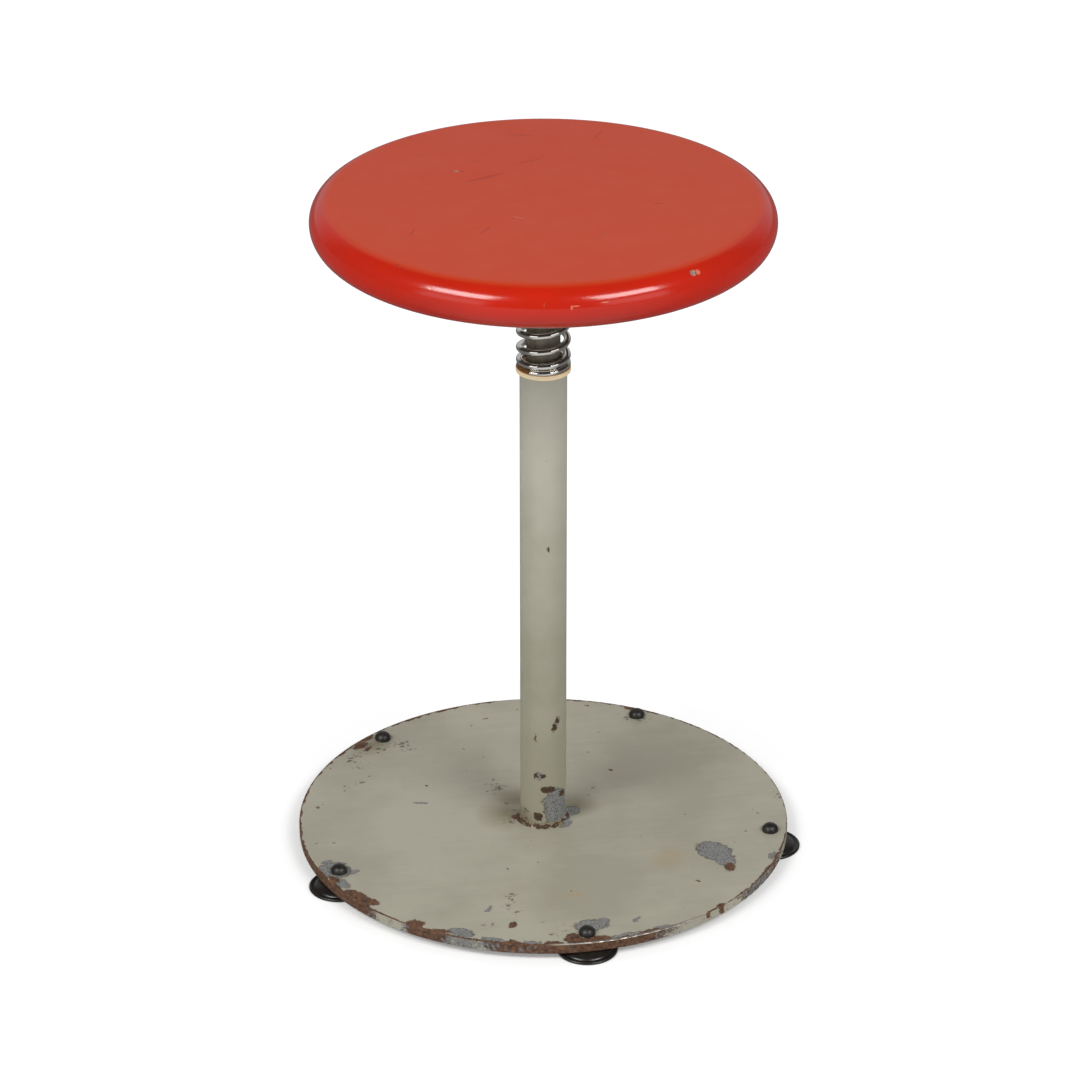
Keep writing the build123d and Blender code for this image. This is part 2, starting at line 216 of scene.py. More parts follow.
    # Specks: short dark knocks crowded in some places, and a few larger ones anywhere.
    crowd = nearest_mark(tree, point, speckled)
    crowd = add(tree, RANGE, {"Value": crowd, "From Min": 1.15, "From Max": 0.3})
    drawn_out = add(tree, PLACED, {"Vector": ragged, "Scale": (0.55, 1, 1)})
    specked = 0.0
    for spread, spacing, rare, most, often in (
            (drawn_out, 2.6, 0.1, 0.6, crowd), (ragged, 13, 0.25, knock, 1.0)):
        dots = add(tree, CELLS, {"Vector": spread, "Scale": 1 / (spacing * MM)}).node.outputs
        luck = add(tree, "ShaderNodeSeparateColor", {0: dots["Color"]})
        size = add(tree, RANGE, {"Value": luck, "From Min": rare, "From Max": 1.0, "To Max": most})
        size = add(tree, MATH, {0: size, 1: often}, operation="MULTIPLY")
        dotted = add(tree, MATH, {0: dots["Distance"], 1: size}, operation="LESS_THAN")
        specked = add(tree, MATH, {0: dotted, 1: specked}, operation="MAXIMUM")
    specked = add(tree, MATH, {0: specked, 1: SPECK_COVER}, operation="MULTIPLY")

    # The colours, from the enamel down to the rust.
    drawn = add(tree, PLACED, {"Vector": point, "Scale": (0.08, 1, 0.3)})
    brushed = add(tree, NOISE, {"Vector": drawn, "Scale": 1 / (6 * MM), "Detail": 4.0, "Roughness": 0.6})
    tone_and_shade = add(tree, MIX, {0: BRUSHED_SHARE, 2: cloud, 3: brushed})
    tone_and_shade = add(tree, RANGE, {"Value": tone_and_shade, "From Min": 0.38, "From Max": 0.66})
    # Painted shade: on the column and the weld the coat darkens towards the foot, between the heights given.
    if not rim:
        foot_shade = by_height(tree, point, FOOT_SHADE_BAND)[0]
        tone_and_shade = add(tree, MATH, {0: tone_and_shade, 1: FOOT_SHADE_SHARE, 2: foot_shade}, operation="MULTIPLY_ADD",
                     use_clamp=True)
    # Painted shade and light: the coat is darkened or lightened at each set of marks given.
    for marks, change in painted_shades:
        shaded = add(tree, RANGE, {
            "Value": nearest_mark(tree, point, marks), "From Min": 1.3, "From Max": 0.3, "To Max": 0.8})
        tone_and_shade = add(tree, MATH, {0: tone_and_shade, 1: shaded}, operation=change, use_clamp=True)
    # Stains, and grime that is partly painted shade, each from its own marks.
    stained, grimy_and_shaded = [
        add(tree, RANGE, {
            "Value": nearest_mark(tree, ragged, marks), "From Min": faint, "From Max": full, "To Max": most})
        for marks, faint, full, most in ((stains, 1.15, 0.5, 0.55), (grime_and_shade, 1.1, 0.1, 0.75))]
    # Painted shadow: a dark ring round each chip, standing for the shadow of the enamel's broken edge.
    chip_edge_shadow = add(tree, MATH, {0: primer_reach, 1: rust_reach}, operation="MINIMUM")
    chip_edge_shadow = add(tree, RANGE, {
        "Value": chip_edge_shadow, "From Min": OUTLINE + CHIP_SHADOW_REACH, "From Max": OUTLINE + CHIP_SOFT, "To Max": 0.8})
    pitted, cracked, left, scaly, bloom = [
        add(tree, RANGE, {"Value": grain, "From Min": low, "From Max": high, "To Max": most})
        for grain, low, high, most in (
            (grit, 0.45, 0.6, 1.0), (grit, 0.5, 0.66, 0.75), (grit, 0.34, 0.4, 1.0),
            (rust_grain, 0.36, 0.5, 1.0), (rust_grain, 0.52, 0.66, 1.0))]
    rusted = add(tree, MATH, {0: rusted, 1: left}, operation="MULTIPLY")
    primer = coated(tree, PRIMER, (pitted, PRIMER_PITTED))
    rust = coated(tree, rusts[0], (scaly, rusts[1]), (bloom, rusts[2]), (cracked, rusts[0]))
    colour = coated(
        tree, enamels[0], (tone_and_shade, enamels[1]), (stained, STAIN), (grimy_and_shaded, GRIME_AND_SHADE), (specked, SPECK_AND_SHADOW),
        (chip_edge_shadow, SPECK_AND_SHADOW), (primed, primer), (rusted, rust))
    stripped = add(tree, MATH, {0: primed, 1: rusted}, operation="MAXIMUM")
    sheen = add(tree, RANGE, {
        "Value": brushed, "From Min": 0.3, "From Max": 0.7, "To Min": 0.29, "To Max": 0.42})
    dull = add(tree, MIX, {0: stripped, 2: sheen, 3: STRIPPED_DULL})
    polished = 0.0

    # The bright arc of the rim's edge, in front.
    if rim:
        start, full_start, full_end, end = BRIGHT_ARC
        polished = add(tree, RANGE, {"Value": around, "From Min": start, "From Max": full_start})
        until = add(tree, RANGE, {"Value": around, "From Min": end, "From Max": full_end})
        polished = add(tree, MATH, {0: polished, 1: until}, operation="MULTIPLY")
        polished = add(tree, MATH, {0: polished, 1: edge}, operation="MULTIPLY")
        colour = coated(tree, colour, (polished, BARE_STEEL))
        dull = add(tree, MIX, {0: polished, 2: dull, 3: STEEL_DULL})
        rusted = add(tree, MATH, {0: rusted, 1: polished}, operation="SUBTRACT", use_clamp=True)

    # The relief: the film's broken edge, the rust's pits and the brush lines.
    film = add(tree, RANGE, {
        "Value": film_reach, "From Min": OUTLINE - FILM_SOFT, "From Max": OUTLINE + FILM_SOFT})
    relief = add(tree, BUMP, {"Height": film, "Distance": 0.25 * MM})
    relief = add(tree, BUMP, {
        "Height": rust_grain, "Distance": 0.9 * MM, "Strength": rusted, "Normal": relief})
    relief = add(tree, BUMP, {"Height": brushed, "Distance": 0.012 * MM, "Normal": relief})
    paint = add(tree, SURFACE, {
        "Base Color": colour, "Roughness": dull, "Metallic": polished, "Normal": relief})
    add(tree, SHOWN, {"Surface": paint})
    return material


def on_plate(rows):
    """Marks on the plate's top: rows of bearing, radius, half depth, half length and, for some, a lean."""
    return [(bearing, radius, PLATE_TOP, deep, along, PLATE_CHIP_DEPTH, sum(lean))
            for bearing, radius, deep, along, *lean in rows]


plate_primer = on_plate((
    (-33.2, 135.5, 14.5, 10.5, -28), (-37, 148, 8, 6.5, -20), (-88.1, 157.5, 7, 11), (-85, 155, 4, 6, 30),
    (-81, 177.5, 3, 13), (-73.7, 178, 2.2, 11), (-76.1, 160.3, 1.8, 4, 35), (-163, 169.5, 10.5, 11),
    (-160, 158.5, 3.5, 2, 20), (-167.5, 171, 4.5, 2), (-156.5, 174.5, 4.5, 7), (-120.2, 173, 4.6, 9),
    (-112.1, 177, 3, 9), (-103.2, 178, 2.6, 7), (-29.7, 177, 3, 4.5), (-117, 137.4, 4, 1.3, -10),
    (158, 93, 5, 1.2, 11), (8, 23.5, 4.4, 6.5), (-48, 21, 2.8, 6)))
plate_rust = on_plate((
    (-39, 153.4, 3.8, 6, 25), (-159.4, 176.5, 2.8, 5), (-149, 176, 5.6, 13), (-145.5, 172.5, 3.6, 5, 20),
    (-131.3, 177, 5.6, 6), (-124.8, 177, 2.4, 7, 16), (-107.6, 178.5, 3, 6.5), (-98.3, 178.5, 3, 6.5),
    (-93.5, 174.5, 8, 6), (-88.3, 177.5, 5, 11), (-75.7, 178.5, 2.4, 9), (-108.7, 155.3, 4, 2.4),
    (-55.5, 180, 3, 3.2), (-59.6, 181, 1.6, 2.6), (132.3, 174, 3.4, 7), (128.5, 178, 3, 6),
    (132.2, 166.3, 2, 4.4), (57.3, 177, 2.4, 5), (51.6, 179, 2, 5), (105.8, 179, 2, 7),
    (176, 21.5, 1.7, 3.4), (96.4, 153.8, 0.9, 2), (68, 171.5, 0.9, 1.8), (42.7, 84.5, 1, 2.2),
    (37, 55, 0.8, 1.3), (142.5, 98, 1.2, 1.2), (-50.6, 145.4, 1.8, 1.2)))
plate_specks = on_plate((
    (130.5, 160, 11, 16), (125, 150, 15, 11), (138.5, 165, 10, 14), (141, 155, 12, 12), (154.5, 152, 6, 6),
    (150, 145, 6, 6), (164.5, 168.5, 6, 12), (120, 55, 11, 16), (140, 28, 9, 9), (-112, 121, 24, 5),
    (-108, 138, 10, 5), (-114.3, 158.9, 5.5, 10), (-97, 165, 9, 12), (-163, 165, 14, 16),
    (-2.3, 177.5, 4, 18), (-40, 152, 9, 8), (-172, 24, 10, 14), (54, 166, 12, 16), (40, 58, 5, 5)))
plate_stains = on_plate(((-44.5, 110, 12.5, 17), (-89.8, 114, 6, 9)))
# Grime and painted shade: olive-brown patches round the column's foot, where dirt gathers and its shadow
# falls, and beside one foot.
plate_grime_and_shade = on_plate((
    (165, 26, 24, 24), (120, 30, 22, 20), (22, 28, 18, 18), (131, 168, 12, 20)))
# Painted shade and light: the coat darkened in front and at the back right, where the column's shadow falls,
# and lightened at the left, where the light is stronger.
plate_painted_light_and_shade = (
    (on_plate(((-82, 105, 42, 55), (33, 120, 45, 65))), "ADD"),
    (on_plate(((160, 88, 45, 55),)), "SUBTRACT"))

# The rim's wear by bearing: how far in it reaches, how much of the side is bare and how rusty that is.
RIM_WEAR = (
    (-180, 0.18, 0.52, 0.75), (-166, 0.12, 0.62, 0.66), (-154, 0.25, 0.66, 0.62), (-147, 0.35, 0.7, 0.64),
    (-141, 0.14, 0.48, 0.44), (-134, 0.14, 0.46, 0.42), (-131, 0.3, 0.74, 0.7), (-126, 0.26, 0.66, 0.6),
    (-121, 0.3, 0.54, 0.42), (-114, 0.3, 0.56, 0.46), (-109, 0.3, 0.64, 0.56), (-103, 0.26, 0.62, 0.54),
    (-97, 0.3, 0.7, 0.62), (-90, 0.45, 0.8, 0.7), (-82, 0.35, 0.76, 0.66), (-76, 0.28, 0.62, 0.54),
    (-70, 0.2, 0.5, 0.48), (-62, 0.11, 0.41, 0.5), (-52, 0.18, 0.4, 0.55), (-46, 0.18, 0.56, 0.48),
    (-38, 0.22, 0.6, 0.46), (-31, 0.32, 0.52, 0.62), (-24, 0.16, 0.44, 0.6), (-12, 0.08, 0.4, 0.5),
    (4, 0.16, 0.42, 0.4), (25, 0.24, 0.38, 0.7), (55, 0.34, 0.5, 0.8), (75, 0.34, 0.4, 0.8),
    (105, 0.38, 0.46, 0.8), (130, 0.42, 0.54, 0.85), (155, 0.28, 0.48, 0.8), (180, 0.18, 0.52, 0.75))
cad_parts["base_plate"].data.materials[0] = chipped_enamel(
    "enamel_on_plate", PLATE_ENAMEL, PLATE_RUST, PLATE_KNOCK, plate_primer, plate_rust, plate_specks,
    plate_stains, plate_grime_and_shade, RIM_WEAR, plate_painted_light_and_shade)


# Suction feet: five one-piece rubber feet, each with a cup below the plate, a neck through its hole and a
# domed head above it. They are moulded black rubber, pulled through from below until the head snaps out.

FOOT_COUNT = 5
FOOT_CIRCLE = 168.0
FIRST_FOOT = -90.0
CUP_RADIUS, CUP_HEIGHT = 22.0, PLATE_FOOT
LIP_RADIUS = 1.2
CUP_DOME = 18.8
RIM_WIDTH, HOLLOW_DEPTH, HOLLOW_STEPS = 3.5, 2.4, 12
HUB_RADIUS, NECK_RADIUS = 8.0, 3.8
HEAD_RADIUS, HEAD_HEIGHT, HEAD_LIP, HEAD_ROUND = 6.0, 6.0, 1.2, 0.5
FOOT_SEGMENTS = 72
SHARP_ANGLE = 35.0
ON_AXIS = 1e-6


def turned(name, profile, segments):
    """A mesh turned about Z from a closed profile of radius and height in millimetres."""
    shape = bmesh.new()
    rings = []
    for radius, height in profile:
        if radius < ON_AXIS:
            rings.append([shape.verts.new((0, 0, height * MM))] * segments)
            continue
        angles = [2 * math.pi * step / segments for step in range(segments)]
        rings.append([
            shape.verts.new((radius * MM * math.cos(angle), radius * MM * math.sin(angle), height * MM))
            for angle in angles])
    pairs = list(zip(rings, rings[1:]))
    if profile[0][0] > ON_AXIS:
        pairs.append((rings[-1], rings[0]))
    for lower, upper in pairs:
        for step in range(segments):
            after = (step + 1) % segments
            corners = list(dict.fromkeys((lower[step], lower[after], upper[after], upper[step])))
            if len(corners) > 2:
                shape.faces.new(corners)
    bmesh.ops.recalc_face_normals(shape, faces=shape.faces)
    mesh = bpy.data.meshes.new(name)
    shape.to_mesh(mesh)
    shape.free()
    mesh.shade_smooth()
    mesh.set_sharp_from_angle(angle=math.radians(SHARP_ANGLE))
    return mesh


def arc(centre, across, up, start, end, steps):
    """Points of a round or oval arc in a profile, from one angle in degrees to another, with both ends."""
    angles = [math.radians(start + (end - start) * step / steps) for step in range(steps + 1)]
    return [(centre[0] + across * math.cos(angle), centre[1] + up * math.sin(angle)) for angle in angles]


hollow = [((CUP_RADIUS - RIM_WIDTH) * step / HOLLOW_STEPS, HOLLOW_DEPTH * (1 - (step / HOLLOW_STEPS) ** 2))
          for step in range(HOLLOW_STEPS + 1)]
lip_centre = CUP_RADIUS - LIP_RADIUS
foot_profile = hollow + arc((lip_centre, LIP_RADIUS), LIP_RADIUS, LIP_RADIUS, start=-90, end=120, steps=12)
foot_profile += arc(
    (HUB_RADIUS, LIP_RADIUS), CUP_DOME - HUB_RADIUS, CUP_HEIGHT - LIP_RADIUS, start=12, end=90, steps=14)
foot_profile += [(NECK_RADIUS, CUP_HEIGHT), (NECK_RADIUS, PLATE_TOP), (HEAD_RADIUS - HEAD_ROUND, PLATE_TOP)]
foot_profile += arc(
    (HEAD_RADIUS - HEAD_ROUND, PLATE_TOP + HEAD_ROUND), HEAD_ROUND, HEAD_ROUND, start=-90, end=0, steps=4)
foot_profile += arc(
    (0, PLATE_TOP + HEAD_LIP), HEAD_RADIUS, HEAD_HEIGHT - HEAD_LIP, start=0, end=82.5, steps=11)
foot_profile += [(0, PLATE_TOP + HEAD_HEIGHT)]


def patches(tree, point, size, detail, rough, low, high):
    """Soft patches of a size in millimetres: noise, taken as 0 up to one level and as 1 from another."""
    noise = add(tree, NOISE, {
        "Vector": point, "Scale": 1 / (size * MM), "Detail": detail, "Roughness": rough})
    return add(tree, RANGE, {"Value": noise, "From Min": low, "From Max": high})


# Moulded rubber: near black, with a soft wet-looking sheen on the cups, and greyer and duller on the heads,
# where dust and polish have settled.
RUBBER, RUBBER_DUSTY = "#171512", "#34312b"
CUP_DUST, HEAD_DUST = 0.25, 0.8
rubber, tree, point = start_material("moulded_black_rubber")
upper = by_height(tree, point, (CUP_HEIGHT, PLATE_TOP))[0]
worn = add(tree, RANGE, {"Value": upper, "To Min": CUP_DUST, "To Max": HEAD_DUST})
dusty = patches(tree, point, size=5, detail=5, rough=0.6, low=0.4, high=0.75)
dusty = add(tree, MATH, {0: dusty, 1: worn}, operation="MULTIPLY")
black = coated(tree, RUBBER, (dusty, RUBBER_DUSTY))
sheen = add(tree, RANGE, {"Value": upper, "To Min": 0.32, "To Max": 0.42})
skin = add(tree, NOISE, {"Vector": point, "Scale": 1 / (1.5 * MM), "Detail": 2.0})
skin = add(tree, BUMP, {"Height": skin, "Distance": 0.02 * MM})
add(tree, SHOWN, {"Surface": add(tree, SURFACE, {
    "Base Color": black, "Roughness": sheen, "Normal": skin, "IOR": 1.52})})


def put(name, data):
    """A new object in the scene, at the origin, from a mesh, a lamp or a camera."""
    thing = bpy.data.objects.new(name, data)
    bpy.context.scene.collection.objects.link(thing)
    return thing


def start_tree(name, **sizes):
    """A Geometry Nodes tree with a geometry input and sizes named by kind, and its inputs."""
    nodes = bpy.data.node_groups.new(name, "GeometryNodeTree")
    nodes.interface.new_socket("Geometry", in_out="INPUT", socket_type="NodeSocketGeometry")
    for kind, labels in sizes.items():
        for label in labels:
            nodes.interface.new_socket(label, in_out="INPUT", socket_type="NodeSocket" + kind)
    nodes.interface.new_socket("Geometry", in_out="OUTPUT", socket_type="NodeSocketGeometry")
    return nodes, add(nodes, "NodeGroupInput").node.outputs


def grown(name, mesh, nodes, sizes):
    """A piece of plain mesh, grown from a starting mesh by a Geometry Nodes tree with the sizes given."""
    piece = put(name, mesh)
    modifier = piece.modifiers.new(nodes.name, "NODES")
    modifier.node_group = nodes
    for label, value in sizes.items():
        modifier[nodes.interface.items_tree[label].identifier] = value
    result = piece.evaluated_get(bpy.context.evaluated_depsgraph_get())
    plain = bpy.data.meshes.new_from_object(result)
    piece.modifiers.clear()
    piece.data = plain
    plain.name = name
    return piece


ring_tree, given = start_tree(
    "ring_of_copies", Int=("Count", "Turn seed"), Float=("Circle radius", "First bearing"),
    Material=("Finish",))
circle = add(ring_tree, "GeometryNodeMeshCircle", {
    "Vertices": given["Count"], "Radius": given["Circle radius"]})
first = add(ring_tree, JOIN, {"Z": given["First bearing"]})
circle = add(ring_tree, "GeometryNodeTransform", {"Geometry": circle, "Rotation": first})
spin = add(ring_tree, "FunctionNodeRandomValue", {2: 0.0, 3: 2 * math.pi, "Seed": given["Turn seed"]}, 1,
           data_type="FLOAT")
spin = add(ring_tree, "FunctionNodeEulerToRotation", {0: add(ring_tree, JOIN, {"Z": spin})})
copies = add(ring_tree, "GeometryNodeInstanceOnPoints", {
    "Points": circle, "Instance": given["Geometry"], "Rotation": spin})
copies = add(ring_tree, "GeometryNodeRealizeInstances", {0: copies})
copies = add(ring_tree, "GeometryNodeSetMaterial", {"Geometry": copies, "Material": given["Finish"]})
add(ring_tree, "NodeGroupOutput", {0: copies})

feet = grown("suction_feet", turned("one_foot", foot_profile, FOOT_SEGMENTS), ring_tree, {
    "Count": FOOT_COUNT, "Circle radius": FOOT_CIRCLE * MM, "First bearing": math.radians(FIRST_FOOT),
    "Turn seed": 3, "Finish": rubber})
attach(feet, "stand")
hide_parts(*["suction_foot_%d" % number for number in range(1, FOOT_COUNT + 1)])


# Column: a plain length of steel tube that stands on the plate, in the same primer and grey enamel. Its foot
# is chipped where shoes and brooms have knocked it.

COLUMN_RADIUS = 16.85
COLUMN_CHIP_DEPTH = 8.0
COLUMN_KNOCK = 0.04
# Painted light and shade: the plate's enamel, painted lighter for the column and darker towards its foot.
COLUMN_ENAMEL_LIT_AND_SHADED = ("#b3b1a4", "#908d7b")
COLUMN_RUST = ("#251a13", "#4a3323", "#6b4c33")


def on_column(rows):
    """Marks on the column, from rows of bearing, height, half width and half height."""
    return [(bearing, COLUMN_RADIUS, height, COLUMN_CHIP_DEPTH, along, tall, 0)
            for bearing, height, along, tall in rows]


column_primer = on_column((
    (-66, 31, 10, 12), (-58, 19, 9, 8), (-111, 55.5, 2.4, 3), (-40, 22, 5, 7), (-78, 24, 5, 7)))
column_rust = on_column((
    (-88, 44, 5, 2.6), (-46, 38, 2.8, 2.4), (-62, 101, 1.8, 2.8), (-71, 95.5, 2, 3.2),
    (-119, 55.5, 1.3, 2.2), (-102, 56, 1.6, 2.2), (-114, 21.5, 3, 3.6), (-89, 241.5, 0.9, 1.9),
    (-150, 15, 4, 2), (-119, 88, 0.5, 3.4), (20, 130, 1, 2), (120, 60, 3, 4), (150, 26, 5, 5)))
column_specks = on_column(((-150, 22, 6, 8), (100, 40, 10, 20)))
column_stains = on_column(((100, 150, 6, 40),))
# Grime and painted shade in the corner where the column meets the plate.
column_grime_and_shade = on_column(((-165, 13, 20, 14), (60, 13, 20, 12)))
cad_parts["column_tube"].data.materials[0] = chipped_enamel(
    "enamel_on_column", COLUMN_ENAMEL_LIT_AND_SHADED, COLUMN_RUST, COLUMN_KNOCK, column_primer, column_rust, column_specks,
    column_stains, column_grime_and_shade)


# Column weld: the fillet weld that joins the tube to the plate, run in short steps, so that its face is a
# row of low ripples. It was painted with the rest, and has rusted through in front.

WELD_LEG, WELD_CROWN = 3.5, 0.4
RIPPLE_COUNT, RIPPLE_HEIGHT, RIPPLE_SWEEP = 44, 0.3, 0.35
WELD_SEGMENTS = RIPPLE_COUNT * 6
WELD_STEPS = 8
FACE_SLACK = 1e-3
# Painted shade: the same enamel, painted darker for the weld in the corner at the column's foot.
WELD_ENAMEL_SHADED = ("#8c8470", "#786c55")

toe_radius = COLUMN_RADIUS + WELD_LEG
weld_face = [(toe_radius - WELD_LEG * step / WELD_STEPS, PLATE_TOP + WELD_LEG * step / WELD_STEPS)
             for step in range(WELD_STEPS + 1)]
weld_mesh = turned("column_weld_bead", [(COLUMN_RADIUS, PLATE_TOP)] + weld_face, WELD_SEGMENTS)
for corner in weld_mesh.vertices:
    radius = math.hypot(corner.co.x, corner.co.y) / MM
    share = (toe_radius - radius) / WELD_LEG
    on_face = radius + corner.co.z / MM > toe_radius + PLATE_TOP - FACE_SLACK
    swell = math.sin(math.pi * share) if on_face else 0.0
    around = RIPPLE_COUNT * math.atan2(corner.co.y, corner.co.x) + RIPPLE_SWEEP * share * 2 * math.pi
    out = swell * (WELD_CROWN - RIPPLE_HEIGHT * (0.5 + 0.5 * math.cos(around))) * math.sqrt(0.5)
    corner.co.x *= (radius + out) / radius
    corner.co.y *= (radius + out) / radius
    corner.co.z += out * MM

weld_primer = on_plate(((-30, 19.5, 4, 9), (8, 20, 4, 5)))
weld_rust = on_plate((
    (-178, 19.5, 2.4, 4.4), (-160, 18.8, 1.6, 4), (-138, 18.7, 1, 3.6), (-115, 18.9, 1.2, 3),
    (-93, 19, 1, 4.2), (-70, 18.9, 1, 3.6), (-46, 18.2, 1.2, 4), (-20, 18, 1.2, 4), (40, 19, 1.6, 4)))
# Grime and painted shade round the weld, in the corner at the column's foot.
weld_grime_and_shade = on_plate(((-110, 19, 14, 40), (170, 18, 9, 24), (40, 18, 9, 24), (-60, 18, 7, 10)))
weld = put("weld_bead", weld_mesh)
weld.data.materials.append(chipped_enamel(
    "enamel_on_weld", WELD_ENAMEL_SHADED, COLUMN_RUST, COLUMN_KNOCK, weld_primer, weld_rust, plate_specks,
    plate_stains, weld_grime_and_shade))
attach(weld, "stand")
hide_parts("column_weld")


# Top bush: a turned nylon bush pressed into the tube. Its flange is the pale collar that the spring stands
# on, and its bore guides the rod.

BUSH_TOP = 378.5
TOOL_PITCH = 1.2
AMBER_AND_SHADE_BAND, GREASE_BAND = (BUSH_TOP - 0.6, BUSH_TOP - 0.1), (BUSH_TOP - 0.2, BUSH_TOP - 0.02)

# Nylon gone cream with age: waxy, soft-edged and faintly see-through. Its top is darkened to amber, partly
# by grease and partly as painted shade under the spring.
NYLON, NYLON_AMBER_AND_SHADE, NYLON_GREASY = "#fde5be", "#cf9450", "#8a5524"
nylon, tree, point = start_material("aged_nylon")
amber_and_shade, greasy = by_height(tree, point, AMBER_AND_SHADE_BAND, GREASE_BAND)
blotch = patches(tree, point, size=5, detail=5, rough=0.6, low=0.3, high=0.62)
greasy = add(tree, MATH, {0: greasy, 1: blotch}, operation="MULTIPLY")
colour = coated(tree, NYLON, (amber_and_shade, NYLON_AMBER_AND_SHADE), (greasy, NYLON_GREASY))
tool_marks = add(tree, "ShaderNodeTexWave", {
    "Vector": point, "Scale": 1 / (TOOL_PITCH * MM * 2 * math.pi), "Distortion": 0.4, "Detail": 2.0}, 1,
    bands_direction="Z")
tool_marks = add(tree, BUMP, {"Height": tool_marks, "Distance": 0.02 * MM})
add(tree, SHOWN, {"Surface": add(tree, SURFACE, {
    "Base Color": colour, "Roughness": 0.36, "Normal": tool_marks, "IOR": 1.53, "Subsurface Weight": 0.25,
    "Subsurface Radius": (1.0, 0.55, 0.25), "Subsurface Scale": 2 * MM})})
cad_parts["top_bush"].data.materials[0] = nylon


# Coil spring: one right-hand spring of round wire, with a closed turn at each end that is ground flat, cold
# wound and plated bright. It stands on the bush, round the rod, and carries the seat.

WIRE_RADIUS, COIL_RADIUS = 2.5, 16.8
COIL_TURNS, CLOSED_TURNS, RAMP_TURNS = 8.75, 1.0, 0.5
CLOSED_PITCH, OPEN_PITCH = 5.2, 12.304
COIL_FOOT, COIL_TOP = 378.8, 468.7
FIRST_TIP = -132.0
POINTS_PER_TURN, WIRE_SIDES = 72, 28
WIRE_SHARP_ANGLE = 50.0

# Bright plating over drawn wire: a mirror that shows the room in thin streaks along the wire, with a brown
# film of old oil in places.
PLATING, PLATING_OILY = "#efece6", "#a8947a"
plating, tree, point = start_material("bright_plated_wire")
oily = patches(tree, point, size=9, detail=5, rough=0.65, low=0.55, high=0.85)
colour = coated(tree, PLATING, (oily, PLATING_OILY))
haze = add(tree, RANGE, {"Value": oily, "To Min": 0.04, "To Max": 0.1})
drawn = add(tree, NOISE, {"Vector": point, "Scale": 1 / (1.1 * MM), "Detail": 3.0})
drawn = add(tree, BUMP, {"Height": drawn, "Distance": 0.004 * MM})
add(tree, SHOWN, {"Surface": add(tree, SURFACE, {
    "Base Color": colour, "Roughness": haze, "Metallic": 1.0, "Normal": drawn})})

# The wire's height over the turns, from either end: a closed pitch, a ramp, then the open pitch.
tree, given = start_tree(
    "wound_wire", Int=("Points", "Wire sides"), Material=("Finish",), Float=(
        "Wire radius", "Coil radius", "Turns", "Closed turns", "Ramp turns", "Closed pitch", "Open pitch",
        "Rise", "Start height", "First tip"))
line = add(tree, "GeometryNodeResampleCurve", {
    "Curve": add(tree, "GeometryNodeCurvePrimitiveLine"), "Count": given["Points"]})
along = add(tree, "GeometryNodeSplineParameter")
turn = add(tree, MATH, {0: along, 1: given["Turns"]}, operation="MULTIPLY")
left = add(tree, MATH, {0: given["Turns"], 1: turn}, operation="SUBTRACT")
from_end = add(tree, MATH, {0: turn, 1: left}, operation="MINIMUM")
past = add(tree, MATH, {0: from_end, 1: given["Closed turns"]}, operation="SUBTRACT")
past = add(tree, MATH, {0: past, 1: 0.0}, operation="MAXIMUM")
ramped = add(tree, MATH, {0: past, 1: given["Ramp turns"]}, operation="MINIMUM")
opened = add(tree, MATH, {0: past, 1: ramped}, operation="SUBTRACT")
eased = add(tree, MATH, {0: ramped, 1: given["Ramp turns"]}, operation="DIVIDE")
eased = add(tree, MATH, {0: eased, 1: ramped}, operation="MULTIPLY")
opened = add(tree, MATH, {0: eased, 1: 0.5, 2: opened}, operation="MULTIPLY_ADD")
wider = add(tree, MATH, {0: given["Open pitch"], 1: given["Closed pitch"]}, operation="SUBTRACT")
closed = add(tree, MATH, {0: from_end, 1: given["Closed pitch"]}, operation="MULTIPLY")
rise = add(tree, MATH, {0: opened, 1: wider, 2: closed}, operation="MULTIPLY_ADD")
upper = add(tree, MATH, {0: turn, 1: left}, operation="GREATER_THAN")
from_top = add(tree, MATH, {0: given["Rise"], 1: rise}, operation="SUBTRACT")
rise = add(tree, MIX, {0: upper, 2: rise, 3: from_top})
height = add(tree, MATH, {0: given["Start height"], 1: rise}, operation="ADD")
angle = add(tree, MATH, {0: turn, 1: 2 * math.pi, 2: given["First tip"]}, operation="MULTIPLY_ADD")
outward = add(tree, JOIN, {"X": add(tree, MATH, {0: angle}, operation="COSINE"),
                           "Y": add(tree, MATH, {0: angle}, operation="SINE")})
outward = add(tree, VECTOR, {0: outward, "Scale": given["Coil radius"]}, operation="SCALE")
place = add(tree, VECTOR, {0: outward, 1: add(tree, JOIN, {"Z": height})}, operation="ADD")
wire = add(tree, "GeometryNodeSetPosition", {"Geometry": line, "Position": place})
wire = add(tree, "GeometryNodeSetCurveNormal", {0: wire}, mode="Z_UP")
section = add(tree, "GeometryNodeCurvePrimitiveCircle", {
    "Resolution": given["Wire sides"], "Radius": given["Wire radius"]})
wire = add(tree, "GeometryNodeCurveToMesh", {"Curve": wire, "Profile Curve": section, "Fill Caps": True})
wire = add(tree, "GeometryNodeRealizeInstances", {0: wire})
wire = add(tree, "GeometryNodeSetMaterial", {"Geometry": wire, "Material": given["Finish"]})
add(tree, "NodeGroupOutput", {0: wire})

